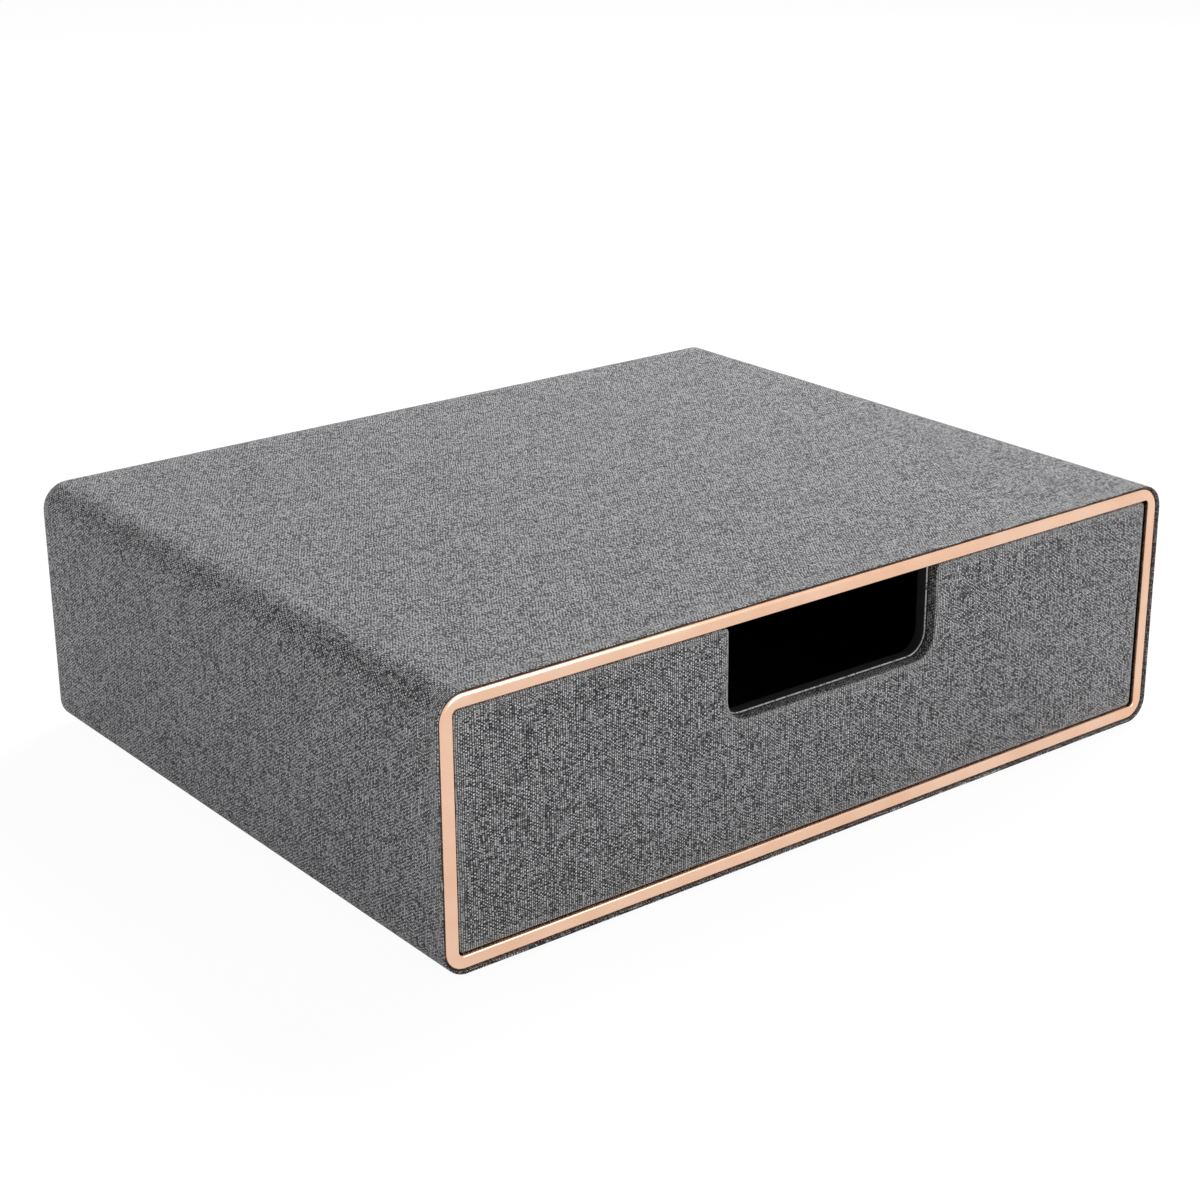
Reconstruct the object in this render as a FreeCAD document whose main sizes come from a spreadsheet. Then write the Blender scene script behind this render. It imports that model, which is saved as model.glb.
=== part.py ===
import FreeCAD, Part
import Sketcher
import os

# File box with drawer: a cloth-covered board case with a plated frame round its mouth, and a
# lined drawer with a cloth-covered fascia that has a finger notch in its top edge.
#
# The part's frame: X to the right, Y to the back, Z up. The origin is on the surface that the
# box stands on, under the middle of the case. Millimetres.
# Case pieces are drawn from the lower front edge of the case's outer skin.
# Drawer pieces are drawn from the face of the fascia and the underside of the drawer.

SIZES = (
    ("case_width", 340.0, "over the cloth"),
    ("case_depth", 270.0, "over the cloth"),
    ("case_height", 99.0, "over the cloth, without the feet"),
    ("edge_radius_top", 10.5, "round long edges, over the cloth"),
    ("edge_radius_bottom", 9.0, "the same, underneath"),
    ("cloth_thickness", 0.5, "linen-look cloth with its paper backing"),
    ("board_thickness", 4.0, "walls and back panel of the case"),
    ("lining_thickness", 1.2, "black card inside the case"),
    ("strip_land", 2.0, "flat of a corner strip beyond the round"),
    ("rim_width", 1.2, "cloth doubled back on itself round the frame"),
    ("cloth_round", 0.6, "where the cloth turns over an end of the case"),
    ("seam_gap", 0.3, "butt seam of the cloth, underneath"),
    ("panel_recess", 1.5, "back panel behind the rim"),
    ("trim_recess", 0.5, "frame's face behind the cloth rim"),
    ("trim_thickness", 2.2, "frame's flange"),
    ("trim_outer_round", 1.7, "outer edge of the flange"),
    ("trim_inner_round", 1.0, "inner edge of the flange"),
    ("opening_radius", 3.0, "corners of the frame's opening"),
    ("sleeve_depth", 10.0, "frame's sleeve behind the flange"),
    ("foot_height", 1.5, "foot pad"),
    ("foot_diameter", 12.0, "foot pad"),
    ("foot_inset", 24.0, "foot centre from the sides of the case"),
    ("fascia_recess", 1.0, "fascia behind the frame's face"),
    ("fascia_board_thickness", 3.5, "without its cloth"),
    ("fascia_side_gap", 1.4, "fascia to the opening, each side"),
    ("fascia_top_gap", 1.4, "fascia to the opening, above"),
    ("fascia_bottom_gap", 1.0, "fascia to the opening, below"),
    ("fascia_corner_radius", 2.0, "corners of the fascia seen from the front"),
    ("fascia_edge_round", 1.0, "cloth over the square front edge of the fascia"),
    ("fascia_hem_width", 12.0, "cloth turned onto the back of the fascia"),
    ("notch_width", 99.0, "finger notch"),
    ("notch_depth", 35.5, "finger notch, down from the fascia's top"),
    ("notch_radius", 9.0, "lower corners of the notch"),
    ("notch_step", 0.8, "box front stands this much inside the notch"),
    ("drawer_side_gap", 1.7, "drawer box to the case lining, each side"),
    ("drawer_top_gap", 3.0, "drawer box to the ceiling"),
    ("drawer_board_thickness", 4.0, "front, back and sides of the box"),
    ("drawer_bottom_thickness", 3.0, "bottom of the box"),
    ("drawer_edge_radius", 2.8, "lower long edges of the bottom"),
    ("drawer_lining_thickness", 1.0, "black card inside the drawer"),
)

CLOTH = "dims.cloth_thickness"
BOARD_FACE = "(dims.cloth_thickness + dims.board_thickness)"       # outer skin to the boards' inside
WALL = f"({BOARD_FACE} + dims.lining_thickness)"                   # outer skin to the lining's inside
SEAT = "(dims.trim_recess + dims.trim_thickness)"                  # front to the back of the flange
SLEEVE_END = f"({SEAT} + dims.sleeve_depth)"
PANEL_FACE = "(dims.case_depth - dims.panel_recess)"               # outside of the back panel
PANEL_FRONT = f"({PANEL_FACE} - dims.cloth_thickness - dims.board_thickness)"
BACK_LINING_FRONT = f"({PANEL_FRONT} - dims.lining_thickness)"
PANEL_INSET = f"({BOARD_FACE} + {CLOTH})"                          # room for the turned-in cloth
OPENING_HALF = f"(dims.case_width/2 - {WALL})"
OPENING_HEIGHT = f"(dims.case_height - 2*{WALL})"

FASCIA_FACE = "(dims.trim_recess + dims.fascia_recess)"            # case front to the fascia's face
FASCIA_BACK = f"(dims.fascia_board_thickness + 2*{CLOTH})"
FASCIA_HALF = f"({OPENING_HALF} - dims.fascia_side_gap)"
FASCIA_TOP = f"({OPENING_HEIGHT} - dims.fascia_top_gap)"
NOTCH_LOW = f"({FASCIA_TOP} - dims.notch_depth)"
BOX_HALF = f"({OPENING_HALF} - dims.drawer_side_gap)"
BOX_TOP = f"({OPENING_HEIGHT} - dims.drawer_top_gap)"
BOX_END = f"({BACK_LINING_FRONT} - {FASCIA_FACE})"
BOX_INNER_HALF = f"({BOX_HALF} - dims.drawer_board_thickness)"
BOX_INNER_FRONT = f"({FASCIA_BACK} + dims.drawer_board_thickness)"
BOX_INNER_END = f"({BOX_END} - dims.drawer_board_thickness)"
FLOOR_LINING_TOP = "(dims.drawer_bottom_thickness + dims.drawer_lining_thickness)"

CASE_AT = ("0", "-dims.case_depth/2", "dims.foot_height")
DRAWER_AT = ("0", f"-dims.case_depth/2 + {FASCIA_FACE}", f"dims.foot_height + {WALL}")

SAME_PLACE = 1e-6                                                  # planes closer than this are one

doc = FreeCAD.newDocument("FileBox")
sheet = doc.addObject("Spreadsheet::Sheet", "dims")
for row, (alias, size, note) in enumerate(SIZES, start=1):
    sheet.set(f"A{row}", alias)
    sheet.set(f"B{row}", str(size))
    sheet.setAlias(f"B{row}", alias)
    sheet.set(f"C{row}", note)
doc.recompute()

pieces = []


def size_of(expression):
    return float(sheet.evalExpression(expression.replace("dims.", "")))


def place(piece, label, at, offset=("0", "0", "0"), turn=0):
    """Name a finished piece, turn it about Y and bind its place to the sheet."""
    piece.Label = label
    about_y = FreeCAD.Rotation(FreeCAD.Vector(0, 1, 0), turn)
    piece.Placement = FreeCAD.Placement(FreeCAD.Vector(), about_y)
    for axis, base, shift in zip("xyz", at, offset):
        piece.setExpression(f"Placement.Base.{axis}", f"{base} + {shift}")
    pieces.append(piece)
    return piece


def new_body(name):
    return doc.addObject("PartDesign::Body", name + "_body")


def sketch_on(body, role, offset="0"):
    """An empty sketch on one of the body's own planes; offset runs back, up or to the right."""
    sketch = body.newObject("Sketcher::SketchObject", f"{body.Name}_sketch")
    plane = next(feature for feature in body.Origin.OriginFeatures if feature.Role == role)
    sketch.AttachmentSupport = [(plane, "")]
    sketch.MapMode = "FlatFace"
    sign = "-" if role == "XZ_Plane" else ""
    sketch.setExpression("AttachmentOffset.Base.z", f"{sign}({offset})")
    return sketch


def bind(sketch, kind, where, start, expression):
    """Add one driving constraint and tie it to the sheet."""
    index = sketch.addConstraint(Sketcher.Constraint(kind, *where, start))
    name = f"{kind}{index}"
    sketch.renameConstraint(index, name)
    sketch.setExpression(f"Constraints.{name}", expression)


def draw_outline(sketch, corners):
    """Closed outline with level and upright sides. A corner is (x, y, radius), radius None if sharp."""
    points = [FreeCAD.Vector(size_of(x), size_of(y), 0) for x, y, radius in corners]
    radii = [size_of(radius) if radius else 0.0 for x, y, radius in corners]
    count = len(corners)
    ahead = [(points[(i + 1) % count] - points[i]).normalize() for i in range(count)]
    lines = []
    for i in range(count):
        j = (i + 1) % count
        side = Part.LineSegment(points[i] + ahead[i] * radii[i], points[j] - ahead[i] * radii[j])
        line = sketch.addGeometry(side)
        lines.append(line)
        level = abs(ahead[i].x) > abs(ahead[i].y)
        sketch.addConstraint(Sketcher.Constraint("Horizontal" if level else "Vertical", line))
        if level:
            bind(sketch, "DistanceY", (-1, 1, line, 1), points[i].y, corners[i][1])
        else:
            bind(sketch, "DistanceX", (-1, 1, line, 1), points[i].x, corners[i][0])
    for i in range(count):
        before, after = lines[i - 1], lines[i]
        if not radii[i]:
            sketch.addConstraint(Sketcher.Constraint("Coincident", before, 2, after, 1))
            continue
        arrive, leave = ahead[i - 1], ahead[i]
        centre = points[i] + (leave - arrive) * radii[i]
        to_left = arrive.x * leave.y - arrive.y * leave.x > 0
        first, last = (points[i] - arrive * radii[i], points[i] + leave * radii[i])
        if not to_left:
            first, last = last, first
        circle = Part.Circle(centre, FreeCAD.Vector(0, 0, 1), radii[i])
        arc = sketch.addGeometry(Part.ArcOfCircle(circle, circle.parameter(first), circle.parameter(last)))
        near, far = (1, 2) if to_left else (2, 1)
        sketch.addConstraint(Sketcher.Constraint("Tangent", before, 2, arc, near))
        sketch.addConstraint(Sketcher.Constraint("Tangent", arc, far, after, 1))
        bind(sketch, "Radius", (arc,), radii[i], corners[i][2])


def pad(body, sketch, length, centred=False):
    """Add material from the sketch: back from an XZ sketch, up or right from the others."""
    feature = body.newObject("PartDesign::Pad", f"{body.Name}_pad")
    feature.Profile = sketch
    feature.setExpression("Length", length)
    feature.Midplane = centred
    feature.Reversed = sketch.AttachmentSupport[0][0].Role == "XZ_Plane" and not centred
    return feature


def pocket(body, sketch, length, reversed_way):
    """Cut from the sketch and make sure that something went."""
    doc.recompute()
    before = body.Shape.Volume
    feature = body.newObject("PartDesign::Pocket", f"{body.Name}_pocket")
    feature.Profile = sketch
    feature.setExpression("Length", length)
    feature.Reversed = reversed_way
    doc.recompute()
    if body.Shape.Volume >= before:
        raise RuntimeError(f"{feature.Name} cuts nothing")
    return feature


def flat_face(body, y):
    """The body's largest face in the upright plane at y."""
    doc.recompute()
    at = size_of(y)
    faces = [face for face in body.Tip.Shape.Faces
             if abs(face.BoundBox.YMin - at) < SAME_PLACE and face.BoundBox.YLength < SAME_PLACE]
    return max(faces, key=lambda face: face.Area)


def round_edges(body, edges, radius):
    """Round the given edges of the body's present shape."""
    tip = body.Tip
    names = [f"Edge{number}" for number, edge in enumerate(tip.Shape.Edges, start=1)
             if any(edge.isSame(wanted) for wanted in edges)]
    feature = body.newObject("PartDesign::Fillet", f"{body.Name}_round")
    feature.Base = (tip, names)
    feature.setExpression("Radius", radius)
    doc.recompute()
    return feature


def inner_edges(face):
    return [edge for wire in face.Wires if not wire.isSame(face.OuterWire) for edge in wire.Edges]


def slab(label, at, x, y, z):
    """A plain rectangular sheet or board; x, y and z are its (low, high) expressions."""
    box = doc.addObject("Part::Box", label + "_box")
    for side, (low, high) in zip(("Length", "Width", "Height"), (x, y, z)):
        box.setExpression(side, f"{high} - ({low})")
    return place(box, label, at, (f"({x[0]})", f"({y[0]})", f"({z[0]})"))


# ---- Case ----

def case_outline(inset):
    """The case's section, drawn in by inset. Cloth never bends tighter than its own thickness."""
    half, low, high = (f"(dims.case_width/2 - {inset})", inset, f"(dims.case_height - {inset})")
    top = f"max(dims.edge_radius_top - {inset}; {CLOTH})"
    bottom = f"max(dims.edge_radius_bottom - {inset}; {CLOTH})"
    return ((f"-{half}", low, bottom), (half, low, bottom), (half, high, top), (f"-{half}", high, top))


def opening_outline(outset="0"):
    """The frame's opening, drawn out by outset."""
    half, low = f"({OPENING_HALF} + {outset})", f"({WALL} - {outset})"
    high, radius = f"(dims.case_height - {WALL} + {outset})", f"(dims.opening_radius + {outset})"
    return ((f"-{half}", low, radius), (half, low, radius), (half, high, radius), (f"-{half}", high, radius))


def ring(body, outer, inner, start, end):
    sketch = sketch_on(body, "XZ_Plane", start)
    draw_outline(sketch, outer)
    draw_outline(sketch, inner)
    return pad(body, sketch, f"{end} - ({start})")


def strip_reach(radius):
    return f"({radius} + dims.strip_land)"


def wall_board(label, span, offset, turn):
    """A wall of the case, from behind the frame's flange to the back, drawn as the bottom board."""
    body = new_body(label)
    profile = sketch_on(body, "YZ_Plane")
    back = f"(dims.case_depth - {CLOTH})"
    draw_outline(profile, ((SEAT, CLOTH, None), (back, CLOTH, None),
                           (back, BOARD_FACE, None), (SEAT, BOARD_FACE, None)))
    pad(body, profile, span, centred=True)
    place(body, label, CASE_AT, offset, turn)


def corner_strip(label, radius, offset, turn):
    """A round-backed strip between two walls, drawn as the lower left one."""
    body = new_body(label)
    reach = strip_reach(radius)
    outer_round = f"({radius} - {CLOTH})"
    section = sketch_on(body, "XZ_Plane", SEAT)
    draw_outline(section, (
        (reach, CLOTH, None), (CLOTH, CLOTH, outer_round), (CLOTH, reach, None),
        (BOARD_FACE, reach, None), (BOARD_FACE, BOARD_FACE, None), (reach, BOARD_FACE, None)))
    pad(body, section, f"dims.case_depth - {CLOTH} - {SEAT}")
    place(body, label, CASE_AT, offset, turn)


def case_walls():
    top, bottom = "dims.edge_radius_top", "dims.edge_radius_bottom"
    reach_top, reach_bottom = strip_reach(top), strip_reach(bottom)
    right, left = "dims.case_width/2", "-dims.case_width/2"
    upright = f"dims.case_height - {reach_top} - {reach_bottom}"
    middle = f"(dims.case_height - {reach_top} + {reach_bottom})/2"
    wall_board("case_bottom_board", f"dims.case_width - 2*{reach_bottom}", ("0", "0", "0"), 0)
    wall_board("case_top_board", f"dims.case_width - 2*{reach_top}", ("0", "0", "dims.case_height"), 180)
    wall_board("case_left_board", upright, (left, "0", middle), 90)
    wall_board("case_right_board", upright, (right, "0", middle), -90)
    corner_strip("case_strip_bottom_left", bottom, (left, "0", "0"), 0)
    corner_strip("case_strip_bottom_right", bottom, (right, "0", "0"), -90)
    corner_strip("case_strip_top_right", top, (right, "0", "dims.case_height"), 180)
    corner_strip("case_strip_top_left", top, (left, "0", "dims.case_height"), 90)


def case_cloth():
    """The cloth round the walls: doubled round the frame's flange in front, and turned in at the back."""
    body = new_body("case_cloth")
    depth = "dims.case_depth"
    skin = case_outline("0")
    ring(body, skin, case_outline(CLOTH), "0", depth)
    ring(body, skin, case_outline("dims.rim_width"), "0", SEAT)
    ring(body, skin, case_outline(PANEL_INSET), f"{depth} - {CLOTH}", depth)
    ring(body, case_outline(BOARD_FACE), case_outline(PANEL_INSET), PANEL_FRONT, depth)
    for end in ("0", depth):
        round_edges(body, flat_face(body, end).OuterWire.Edges, "dims.cloth_round")
    seam = sketch_on(body, "XY_Plane")
    half = "dims.seam_gap/2"
    draw_outline(seam, ((f"-{half}", "0", None), (half, "0", None),
                        (half, depth, None), (f"-{half}", depth, None)))
    pocket(body, seam, PANEL_INSET, reversed_way=True)
    place(body, "case_cloth", CASE_AT)


def back_panel():
    """A board in a cloth tray, pushed in against the lining."""
    board = new_body("back_board")
    face = sketch_on(board, "XZ_Plane", PANEL_FRONT)
    draw_outline(face, case_outline(f"({PANEL_INSET} + {CLOTH})"))
    pad(board, face, "dims.board_thickness")
    place(board, "back_board", CASE_AT)

    cloth = new_body("back_cloth")
    ring(cloth, case_outline(PANEL_INSET), case_outline(f"({PANEL_INSET} + {CLOTH})"), PANEL_FRONT, PANEL_FACE)
    sheet_face = sketch_on(cloth, "XZ_Plane", f"{PANEL_FACE} - {CLOTH}")
    draw_outline(sheet_face, case_outline(PANEL_INSET))
    pad(cloth, sheet_face, CLOTH)
    place(cloth, "back_cloth", CASE_AT)


def case_lining():
    long_way = (SLEEVE_END, PANEL_FRONT)
    between_boards = f"(dims.case_width/2 - {BOARD_FACE})"
    across = (f"-{between_boards}", between_boards)
    top = "dims.case_height"
    slab("lining_floor", CASE_AT, across, long_way, (BOARD_FACE, WALL))
    slab("lining_ceiling", CASE_AT, across, long_way, (f"{top} - {WALL}", f"{top} - {BOARD_FACE}"))
    upright = (WALL, f"{top} - {WALL}")
    slab("lining_left", CASE_AT, (f"-{between_boards}", f"-{OPENING_HALF}"), long_way, upright)
    slab("lining_right", CASE_AT, (OPENING_HALF, between_boards), long_way, upright)
    slab("lining_back", CASE_AT, (f"-{OPENING_HALF}", OPENING_HALF), (BACK_LINING_FRONT, PANEL_FRONT), upright)


def trim_frame():
    """The plated frame: a flange on the walls' ends and a sleeve flush with the lining, in one moulding."""
    body = new_body("trim_frame")
    ring(body, case_outline("dims.rim_width"), opening_outline(), "dims.trim_recess", SEAT)
    ring(body, opening_outline("dims.lining_thickness"), opening_outline(), "dims.trim_recess", SLEEVE_END)
    round_edges(body, flat_face(body, "dims.trim_recess").OuterWire.Edges, "dims.trim_outer_round")
    round_edges(body, inner_edges(flat_face(body, "dims.trim_recess")), "dims.trim_inner_round")
    place(body, "trim_frame", CASE_AT)


def foot(label, x, y):
    """A die-cut round pad stuck under the cloth."""
    body = new_body(label)
    disc = sketch_on(body, "XY_Plane", "-dims.foot_height")
    radius = size_of("dims.foot_diameter/2")
    circle = disc.addGeometry(Part.Circle(FreeCAD.Vector(), FreeCAD.Vector(0, 0, 1), radius))
    disc.addConstraint(Sketcher.Constraint("Coincident", circle, 3, -1, 1))
    bind(disc, "Diameter", (circle,), 2 * radius, "dims.foot_diameter")
    pad(body, disc, "dims.foot_height")
    place(body, label, CASE_AT, (x, y, "0"))


def feet():
    half = "(dims.case_width/2 - dims.foot_inset)"
    for end, y in (("front", "dims.foot_inset"), ("back", "(dims.case_depth - dims.foot_inset)")):
        for side, x in (("left", f"-{half}"), ("right", half)):
            foot(f"foot_{end}_{side}", x, y)


# ---- Drawer ----

def notched_outline(half, low, high, notch_half, notch_low, notch_radius, corner=None):
    """A panel with the finger notch open at its top edge."""
    return ((f"-{half}", low, corner), (half, low, corner),
            (half, high, corner), (notch_half, high, corner),
            (notch_half, notch_low, notch_radius), (f"-{notch_half}", notch_low, notch_radius),
            (f"-{notch_half}", high, corner), (f"-{half}", high, corner))


def fascia_outline(inset):
    """The fascia's outline drawn in by inset; the notch grows by as much."""
    return notched_outline(
        f"({FASCIA_HALF} - {inset})", f"(dims.fascia_bottom_gap + {inset})", f"({FASCIA_TOP} - {inset})",
        f"(dims.notch_width/2 + {inset})", f"({NOTCH_LOW} - {inset})", f"(dims.notch_radius + {inset})",
        f"max(dims.fascia_corner_radius - {inset}; {CLOTH})")


def box_front_outline(low):
    """The box front behind the fascia, between the side boards, its notch one step smaller."""
    return notched_outline(
        BOX_INNER_HALF, low, BOX_TOP, "(dims.notch_width/2 - dims.notch_step)",
        f"({NOTCH_LOW} + dims.notch_step)", "(dims.notch_radius - dims.notch_step)")


def fascia():
    board = new_body("fascia_board")
    face = sketch_on(board, "XZ_Plane", CLOTH)
    draw_outline(face, fascia_outline(CLOTH))
    pad(board, face, "dims.fascia_board_thickness")
    place(board, "fascia_board", DRAWER_AT)

    cloth = new_body("fascia_cloth")
    block = sketch_on(cloth, "XZ_Plane")
    draw_outline(block, fascia_outline("0"))
    pad(cloth, block, FASCIA_BACK)
    round_edges(cloth, flat_face(cloth, "0").Edges, "dims.fascia_edge_round")
    hollow = sketch_on(cloth, "XZ_Plane", FASCIA_BACK)
    draw_outline(hollow, fascia_outline(CLOTH))
    pocket(cloth, hollow, f"{FASCIA_BACK} - {CLOTH}", reversed_way=True)
    hem_start = f"({FASCIA_BACK} - {CLOTH})"
    ring(cloth, fascia_outline("0"), fascia_outline("dims.fascia_hem_width"), hem_start, FASCIA_BACK)
    place(cloth, "fascia_cloth", DRAWER_AT)


def drawer_front_panel(label, low, start, thickness):
    """A notched panel of the box front: the board, or the lining behind it."""
    body = new_body(label)
    face = sketch_on(body, "XZ_Plane", start)
    draw_outline(face, box_front_outline(low))
    pad(body, face, thickness)
    place(body, label, DRAWER_AT)


def drawer_bottom():
    """The bottom lies under the walls; its long edges are rounded to pass the frame's corners."""
    body = new_body("drawer_bottom_board")
    section = sketch_on(body, "XZ_Plane", FASCIA_BACK)
    edge, top = "dims.drawer_edge_radius", "dims.drawer_bottom_thickness"
    draw_outline(section, ((f"-{BOX_HALF}", "0", edge), (BOX_HALF, "0", edge),
                           (BOX_HALF, top, None), (f"-{BOX_HALF}", top, None)))
    pad(body, section, f"{BOX_END} - {FASCIA_BACK}")
    place(body, "drawer_bottom_board", DRAWER_AT)


def drawer_box():
    drawer_bottom()
    drawer_front_panel("drawer_front_board", "dims.drawer_bottom_thickness", FASCIA_BACK,
                       "dims.drawer_board_thickness")
    above_bottom = ("dims.drawer_bottom_thickness", BOX_TOP)
    full_length = (FASCIA_BACK, BOX_END)
    inside = (f"-{BOX_INNER_HALF}", BOX_INNER_HALF)
    slab("drawer_left_board", DRAWER_AT, (f"-{BOX_HALF}", f"-{BOX_INNER_HALF}"), full_length, above_bottom)
    slab("drawer_right_board", DRAWER_AT, (BOX_INNER_HALF, BOX_HALF), full_length, above_bottom)
    slab("drawer_back_board", DRAWER_AT, inside, (BOX_INNER_END, BOX_END), above_bottom)

    card = "dims.drawer_lining_thickness"
    lined = (FLOOR_LINING_TOP, BOX_TOP)
    between = (f"{BOX_INNER_FRONT} + {card}", f"{BOX_INNER_END} - {card}")
    slab("drawer_floor_lining", DRAWER_AT, inside, (BOX_INNER_FRONT, BOX_INNER_END),
         ("dims.drawer_bottom_thickness", FLOOR_LINING_TOP))
    drawer_front_panel("drawer_front_lining", FLOOR_LINING_TOP, BOX_INNER_FRONT, card)
    slab("drawer_back_lining", DRAWER_AT, inside, (between[1], BOX_INNER_END), lined)
    slab("drawer_left_lining", DRAWER_AT, (f"-{BOX_INNER_HALF}", f"-{BOX_INNER_HALF} + {card}"), between, lined)
    slab("drawer_right_lining", DRAWER_AT, (f"{BOX_INNER_HALF} - {card}", BOX_INNER_HALF), between, lined)


case_walls()
case_cloth()
back_panel()
case_lining()
trim_frame()
feet()
fascia()
drawer_box()
doc.recompute()

for item in doc.Objects:
    if "Invalid" in item.State or "Error" in item.State:
        raise RuntimeError(f"{item.Label} failed: {item.State}")
for piece in pieces:
    if piece.Shape.isNull() or not piece.Shape.isValid():
        raise RuntimeError(f"{piece.Label} has no valid shape")

os.makedirs("parts", exist_ok=True)
for piece in pieces:
    piece.Shape.exportStep(f"parts/{piece.Label}.step")
    print(f"{piece.Label}: {len(piece.Shape.Solids)} solid, {piece.Shape.Volume:.0f} mm3")
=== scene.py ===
import math

import bmesh
import bpy
import numpy as np
from mathutils import Matrix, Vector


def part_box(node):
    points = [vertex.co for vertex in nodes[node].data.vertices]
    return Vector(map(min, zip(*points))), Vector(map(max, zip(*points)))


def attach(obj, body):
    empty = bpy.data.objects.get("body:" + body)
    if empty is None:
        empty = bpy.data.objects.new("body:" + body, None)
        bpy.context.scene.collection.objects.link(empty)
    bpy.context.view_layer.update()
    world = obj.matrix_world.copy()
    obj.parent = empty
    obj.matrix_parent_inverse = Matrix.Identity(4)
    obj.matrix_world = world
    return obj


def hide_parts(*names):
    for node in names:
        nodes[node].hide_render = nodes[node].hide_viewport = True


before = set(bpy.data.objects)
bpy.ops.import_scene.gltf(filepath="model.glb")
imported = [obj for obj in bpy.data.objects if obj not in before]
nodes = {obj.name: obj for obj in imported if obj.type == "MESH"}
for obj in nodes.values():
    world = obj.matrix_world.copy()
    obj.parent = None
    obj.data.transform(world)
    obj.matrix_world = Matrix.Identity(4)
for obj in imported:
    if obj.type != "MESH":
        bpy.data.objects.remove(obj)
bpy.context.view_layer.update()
print("frame loaded:", len(nodes), "nodes")

mm = 0.001


def millimetreBox(name):
    # a node's low and high corners, in millimetres
    return [np.array(corner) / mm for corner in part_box(name)]


# sizes in millimetres, measured from the frame so that the pieces always fit it
caseLow, caseHigh = millimetreBox("case_cloth")
fasciaLow, fasciaHigh = millimetreBox("fascia_cloth")

caseSize = {
    "front": caseLow[1], "back": caseHigh[1],
    "half": caseHigh[0], "low": caseLow[2], "high": caseHigh[2],
    "topRadius": 10.5, "bottomRadius": 9.0, "arcSteps": 16,
    "wall": 5.7,        # from the case's outline to the drawer's opening
    "cloth": 0.5,       # thickness of every cloth
}


# outlines, profiles and meshes

def outlineLoops(corners, insets, arcSteps, sideSteps=None, spacing=6.0):
    # every side moves in by the inset; a corner's arc has radius r - inset where the outline
    # bulges and r + inset where it is hollow, never under 0. One row of points for each inset.
    points = np.array([corner[:2] for corner in corners], float)
    radii = np.array([corner[2] for corner in corners], float)
    ahead = np.roll(points, -1, 0) - points
    lengths = np.linalg.norm(ahead, axis=1)
    ahead /= lengths[:, None]
    normalNext = np.stack([-ahead[:, 1], ahead[:, 0]], 1)
    normalBefore = np.roll(normalNext, 1, 0)
    before = np.roll(ahead, 1, 0)
    turn = np.sign(before[:, 0] * ahead[:, 1] - before[:, 1] * ahead[:, 0])[None, :, None]
    shift = np.asarray(insets, float)[:, None, None]
    radius = np.maximum(radii[None, :, None] - turn * shift, 0)
    centre = points + shift * (normalBefore + normalNext) + turn * radius * (normalBefore + normalNext)
    angle = np.linspace(0, math.pi / 2, arcSteps + 1)[None, :, None]
    inward = np.cos(angle) * normalBefore[:, None, :] + np.sin(angle) * normalNext[:, None, :]
    arcs = centre[:, :, None, :] - (turn * radius)[:, :, None, :] * inward[None]
    if sideSteps is None:
        sideSteps = [2 * max(1, round(length / spacing / 2)) for length in lengths]
    parts = []
    for k, steps in enumerate(sideSteps):
        start, end = arcs[:, k, -1], arcs[:, (k + 1) % len(corners), 0]
        share = (np.arange(1, steps) / steps)[None, :, None]
        parts += [arcs[:, k], start[:, None] * (1 - share) + end[:, None] * share]
    loops = np.concatenate(parts, axis=1)
    return np.concatenate([loops, loops[:, :1]], axis=1)


def boxOutline(half, low, high, topRadius, bottomRadius):
    # corners of (x, z, radius), round the box from its lower left
    return [(-half, low, bottomRadius), (half, low, bottomRadius),
            (half, high, topRadius), (-half, high, topRadius)]


def quarter(centre, radius, start, end, steps=6):
    # points at centre + radius * (cos a, sin a), from start to end degrees
    a = np.radians(np.linspace(start, end, steps + 1))
    return [(centre[0] + radius * c, centre[1] + radius * s) for c, s in zip(np.cos(a), np.sin(a))]


def pathLength(profile):
    # length along the profile at each of its points: the running sum of its steps
    steps = np.linalg.norm(np.diff(np.asarray(profile), axis=0), axis=1)
    return np.concatenate([[0], np.cumsum(steps)])


def waves(u, v, seed, longest=120.0, shortest=0.3, count=7):
    # a sum of slanted sine waves of about equal height, with fixed random directions and phases
    random = np.random.default_rng(seed)
    total = np.zeros(np.broadcast(u, v).shape)
    for n in range(count):
        turn, phase = random.uniform(0, 2 * math.pi, 2)
        length = longest * random.uniform(shortest, 1.0)
        total += np.sin(2 * math.pi * (u * math.cos(turn) + v * math.sin(turn)) / length + phase)
    return total / count


def atDepth(loops, depths):
    # a loop in x and z for each row becomes points in x, y and z
    depth = np.broadcast_to(np.asarray(depths, float)[:, None], loops.shape[:2])
    return np.stack([loops[..., 0], depth, loops[..., 1]], -1)


def bareGrid(points):
    # a grid without threads or fold
    return points, np.zeros(points.shape[:2] + (2,)), 0.0


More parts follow.
